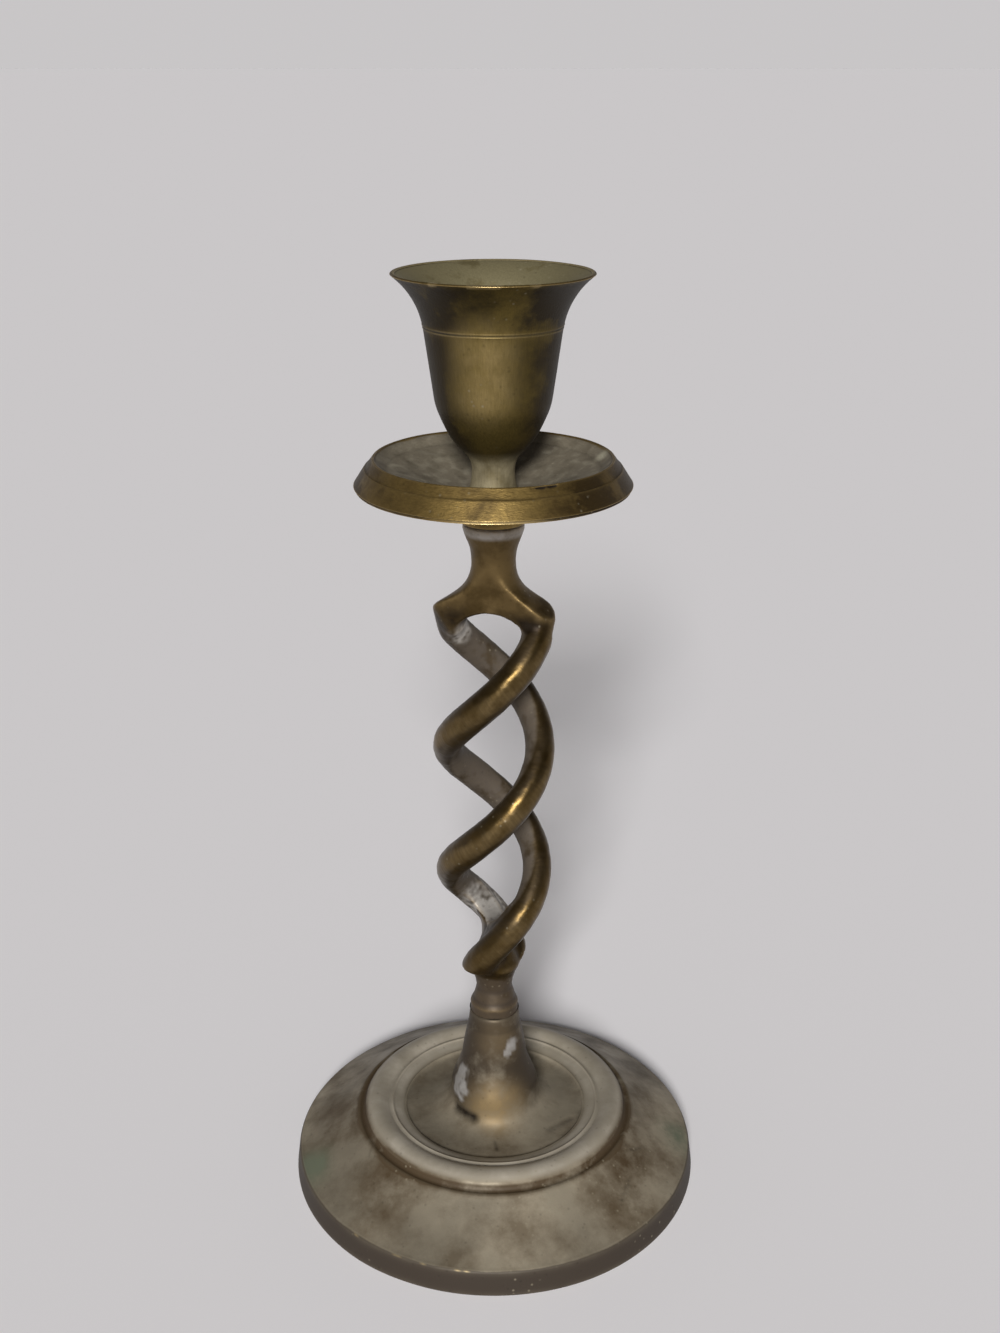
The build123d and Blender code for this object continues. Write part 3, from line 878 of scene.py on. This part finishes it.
def aged_brass(name, body, tarnish, layers, blotch, cloud, gloss, metal, brushing=None, striations=False):
    """Old brass that was never lacquered: tarnish in blotches, pits, flecks, brush marks and rubbed edges.

    Each layer is painted on the piece: its name, its colour, its roughness and how much of it stays metal.
    Tarnish scatters light as a thin brown skin does, so only part of the surface still shines as metal:
    the two shares are for the clean and the tarnished brass.
    """
    material, tree = blank_material(name)
    place = add(tree, "TexCoord", {})["Object"]
    blotches = patches(tree, place, blotch, detail=6.0, roughness=0.62)
    clouds = patches(tree, place, cloud, detail=4.0, roughness=0.55)
    grain = patches(tree, place, GRAIN_SIZE, detail=3.0, roughness=0.7)
    tarnished = fit(tree, blotches, TARNISH_BOUNDS)
    tone = mix_colours(tree, tarnished, colour(body), colour(tarnish))
    tone = mix_colours(tree, 1.0, tone, fit(tree, clouds, CLOUD_BOUNDS, CLOUD_SHADES), "MULTIPLY")
    rough = fit(tree, blotches, GLOSS_BOUNDS, gloss)
    shine = fit(tree, tarnished, (0.0, 1.0), metal)
    ragged = fit(tree, blotches, RAGGED_BOUNDS, RAGGED_SHARES)
    if striations:
        along = add(tree, "Attribute", {}, attribute_name="along")["Fac"]
        inputs = {"W": along, "Scale": per(STRIATION_SIZE), "Detail": 2.0}
        lines = add(tree, "TexNoise", inputs, noise_dimensions="1D")["Fac"]
        streaks = fit(tree, lines, STRIATION_BOUNDS, STRIATION_SHADES)
    for layer, shade, smooth, kept in layers:
        mask = add(tree, "Attribute", {}, attribute_name=layer)["Fac"]
        if striations and layer == "worn":
            mask = work_out(tree, "MULTIPLY", mask, streaks)
        mask = work_out(tree, "MULTIPLY", mask, ragged, hold=True)
        tone = mix_colours(tree, mask, tone, colour(shade))
        rough = mix_values(tree, mask, rough, smooth)
        shine = mix_values(tree, mask, shine, kept)
    pits = fit(tree, cells(tree, place, PIT_SIZE), PIT_BOUNDS, PIT_SHADES)
    tone = mix_colours(tree, 1.0, tone, pits, "MULTIPLY")
    near = fit(tree, cells(tree, place, FLECK_SIZE), FLECK_BOUNDS, FLECK_SHARES)
    flecks = work_out(tree, "MULTIPLY", near, fit(tree, clouds, FLECK_CLOUDS))
    tone = mix_colours(tree, flecks, tone, colour(FLECK))
    height = work_out(tree, "MULTIPLY_ADD", grain, GRAIN_BUMP, pits)
    if brushing:
        turned = add(tree, "Mapping", {"Vector": place, "Scale": brushing})["Vector"]
        inputs = {"Vector": turned, "Scale": 1.0, "Detail": 2.0, "Roughness": 0.6}
        strokes = add(tree, "TexNoise", inputs)["Fac"]
        height = work_out(tree, "MULTIPLY_ADD", strokes, STROKE_BUMP, height)
        rough = work_out(tree, "MULTIPLY_ADD", strokes, STROKE_ROUGH, rough)
        rough = work_out(tree, "SUBTRACT", rough, STROKE_ROUGH / 2)
        tone = mix_colours(tree, 1.0, tone, fit(tree, strokes, STROKE_BOUNDS, STROKE_SHADES), "MULTIPLY")
    if striations:
        height = work_out(tree, "MULTIPLY_ADD", lines, STRIATION_BUMP, height)
    bump = add(tree, "Bump", {"Height": height, "Strength": BUMP_STRENGTH, "Distance": BUMP_DEPTH * MM})
    inputs = {"Base Color": tone, "Roughness": rough, "Metallic": shine, "Normal": bump["Normal"]}
    shader = add(tree, "BsdfPrincipled", {**inputs, "Specular IOR Level": SKIN_SHINE})
    add(tree, "OutputMaterial", {"Surface": shader["BSDF"]})
    return material


# Layers that several pieces share
WORN = ("worn", "#a68d5c", 0.36, 0.9)
SUNK = ("sunk", "#1a130a", 0.62, 0.05)
# The bright layer: real chips on the base's rim, and painted highlight on the pan's lower edge and the cup's
# lip
BRIGHT = ("bright", "#d9c08a", 0.28, 1.0)

# The base: a grey-brown casting, browner in stains, with solder, painted shade on the ring's outer wall and a
# painted golden highlight on the trumpet
base_brass = aged_brass(
    "aged_cast_brass_base",
    body="#968c79",
    tarnish="#695e4d",
    layers=[
        # Brown stains, and painted shade on the ring's outer wall
        ("brown", "#4a3c2a", 0.55, 0.1),
        ("green", "#666a58", 0.6, 0.1),
        ("rim", "#3a322a", 0.55, 0.15),
        ("band", "#b3aa9a", 0.5, 0.3),
        ("trumpet", "#3f362b", 0.5, 0.5),
        # Painted highlight on the front of the trumpet
        ("gold_highlight", "#84704f", 0.5, 0.25),
        ("solder", "#999692", 0.5, 0.3),
        ("worn", "#a59a84", 0.4, 0.4),
        SUNK,
        BRIGHT,
    ],
    blotch=11,
    cloud=26,
    gloss=(0.42, 0.6),
    metal=(0.4, 0.2),
)
# The stem: dark, glossy brass, rough as cast on its inner sides, with painted shade on the strands' flanks
# and the yoke's slopes
stem_brass = aged_brass(
    "aged_cast_brass_stem",
    body="#433419",
    tarnish="#22190c",
    layers=[
        ("rough_cast", "#4b443d", 0.66, 0.1),
        # Painted shade on the strands' flanks and the yoke's slopes
        ("flank_shade", "#20170c", 0.46, 0.6),
        ("yoke", "#5b4a2d", 0.46, 0.7),
        ("silver", "#a29d96", 0.58, 0.2),
        ("collar", "#463c31", 0.5, 0.4),
        ("worn", "#9d855b", 0.34, 0.9),
        SUNK,
    ],
    blotch=5,
    cloud=16,
    gloss=(0.27, 0.42),
    metal=(0.9, 0.7),
    striations=True,
)
# The pan: golden outside with painted shade towards its ends and a painted highlight on the front of its
# lower edge, a grey mottled dish inside, brushed round
pan_brass = aged_brass(
    "aged_turned_brass_pan",
    body="#806a3d",
    tarnish="#47381c",
    layers=[
        # Painted shade towards the pan's ends
        ("brown", "#3a2d17", 0.5, 0.6),
        ("dish", "#6f6758", 0.6, 0.1),
        ("mottle", "#8d8675", 0.62, 0.1),
        ("stain", "#4a4336", 0.6, 0.1),
        ("pale", "#a09a86", 0.6, 0.1),
        WORN,
        SUNK,
        BRIGHT,
    ],
    blotch=7,
    cloud=20,
    gloss=(0.38, 0.54),
    metal=(0.85, 0.55),
    brushing=(per(0.9), per(0.9), per(0.25)),
)
# The cup: olive brass with a painted highlight rubbed clean in front and behind, and painted shade on its
# sides and flare, brushed up and down
cup_brass = aged_brass(
    "aged_turned_brass_cup",
    body="#615229",
    tarnish="#393014",
    layers=[
        # Painted shade on the cup's sides and flare
        ("brown", "#231b0b", 0.52, 0.4),
        # Painted highlight, as rubbed-clean brass
        ("rubbed", "#9c8759", 0.5, 0.8),
        ("inside", "#736b50", 0.58, 0.3),
        ("pale", "#8a8066", 0.6, 0.3),
        WORN,
        SUNK,
        BRIGHT,
    ],
    blotch=8,
    cloud=18,
    gloss=(0.5, 0.64),
    metal=(0.8, 0.6),
    brushing=(per(0.35), per(0.35), per(9)),
)

# Dull steel

STEEL = "#8d8a86"
RUST = "#5a4331"
RUST_SIZE = 1.6
RUST_BOUNDS = (0.52, 0.7)
STEEL_ROUGH = (0.3, 0.6)
RUST_BUMP = 0.2
RUST_DEPTH = 0.05


def dull_steel():
    """Plain cut steel, dulled by age: grey, with brown rust freckles that roughen and bump it."""
    material, tree = blank_material("dull_steel")
    place = add(tree, "TexCoord", {})["Object"]
    rust = patches(tree, place, RUST_SIZE, detail=5.0, roughness=0.5)
    tone = mix_colours(tree, fit(tree, rust, RUST_BOUNDS), colour(STEEL), colour(RUST))
    rough = fit(tree, rust, (0.0, 1.0), STEEL_ROUGH)
    bump = add(tree, "Bump", {"Height": rust, "Strength": RUST_BUMP, "Distance": RUST_DEPTH * MM})
    inputs = {"Base Color": tone, "Roughness": rough, "Metallic": 1.0, "Normal": bump["Normal"]}
    shader = add(tree, "BsdfPrincipled", inputs)
    add(tree, "OutputMaterial", {"Surface": shader["BSDF"]})
    return material


steel = dull_steel()

# Putting the pieces in place

PLACES = (
    (make_base, "base", "stand", "cast_brass", base_brass),
    (make_stem, "twist_stem", "stand", "cast_brass", stem_brass),
    (make_pan, "drip_pan", "pan", "turned_brass", pan_brass),
    (make_cup, "candle_cup", "cup", "turned_brass", cup_brass),
)
for make, node, body, slot, material in PLACES:
    piece = make()
    piece.data.materials.append(material)
    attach(piece, body)
    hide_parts(node)
for node, (name, body, pitch) in STUDS.items():
    screw = make_screw(node, name, pitch)
    screw.data.materials.append(steel)
    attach(screw, body)
    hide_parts(node)
for node in ("base_washer", "base_nut"):
    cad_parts[node].data.materials.clear()
    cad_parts[node].data.materials.append(steel)

# Floor, light and camera

FLOOR_SIZE = 60.0
FLOOR_SHADE = "#f2eff0"
KEY_STRENGTH = 3.8
KEY_SPREAD = 14
KEY_FROM = Vector((-0.07, -0.87, 0.47)).normalized()
FILL_STRENGTH = 0.08
# The room dims from the top of its walls to its ceiling, as heights of a view's direction
WALL_TOP = 0.22
CEILING = 0.36
CEILING_STRENGTH = 0.05


def make_floor():
    bpy.ops.object.select_all(action="DESELECT")
    bpy.ops.mesh.primitive_plane_add(size=FLOOR_SIZE)
    floor = bpy.context.object
    floor.name = "pale_floor"
    material, tree = blank_material("matt_pale_paper")
    shader = add(tree, "BsdfDiffuse", {"Color": colour(FLOOR_SHADE)})
    add(tree, "OutputMaterial", {"Surface": shader["BSDF"]})
    floor.data.materials.append(material)


def make_light():
    sun = bpy.data.lights.new("soft_key", "SUN")
    sun.energy = KEY_STRENGTH
    sun.angle = math.radians(KEY_SPREAD)
    lamp = bpy.data.objects.new("soft_key", sun)
    lamp.rotation_euler = KEY_FROM.to_track_quat("Z", "Y").to_euler()
    bpy.context.scene.collection.objects.link(lamp)


def make_world():
    """A room as pale as the lit floor near the horizon, so no edge of the floor shows, and dim overhead."""
    world = bpy.data.worlds.new("studio")
    world.use_nodes = True
    tree = world.node_tree
    tree.nodes.clear()
    wall = KEY_STRENGTH * KEY_FROM.z / math.pi + FILL_STRENGTH
    towards = add(tree, "TexCoord", {})["Generated"]
    height = add(tree, "SeparateXYZ", {"Vector": towards})["Z"]
    level = fit(tree, height, (WALL_TOP, CEILING), (wall, CEILING_STRENGTH))
    room = add(tree, "Background", {"Color": colour(FLOOR_SHADE), "Strength": level})["Background"]
    add(tree, "OutputWorld", {"Surface": room})
    bpy.context.scene.world = world


def make_camera():
    camera = bpy.data.cameras.new("camera")
    camera.sensor_width = SENSOR_MM
    camera.lens = FOCAL_PX / IMAGE_HEIGHT_PX * SENSOR_MM
    holder = bpy.data.objects.new("camera", camera)
    holder.location = Vector(CAMERA_MM) * MM
    holder.rotation_euler = (math.radians(90 - CAMERA_TILT), 0, 0)
    bpy.context.scene.collection.objects.link(holder)
    bpy.context.scene.camera = holder


make_floor()
make_light()
make_world()
make_camera()
bpy.context.scene.view_settings.view_transform = "Standard"
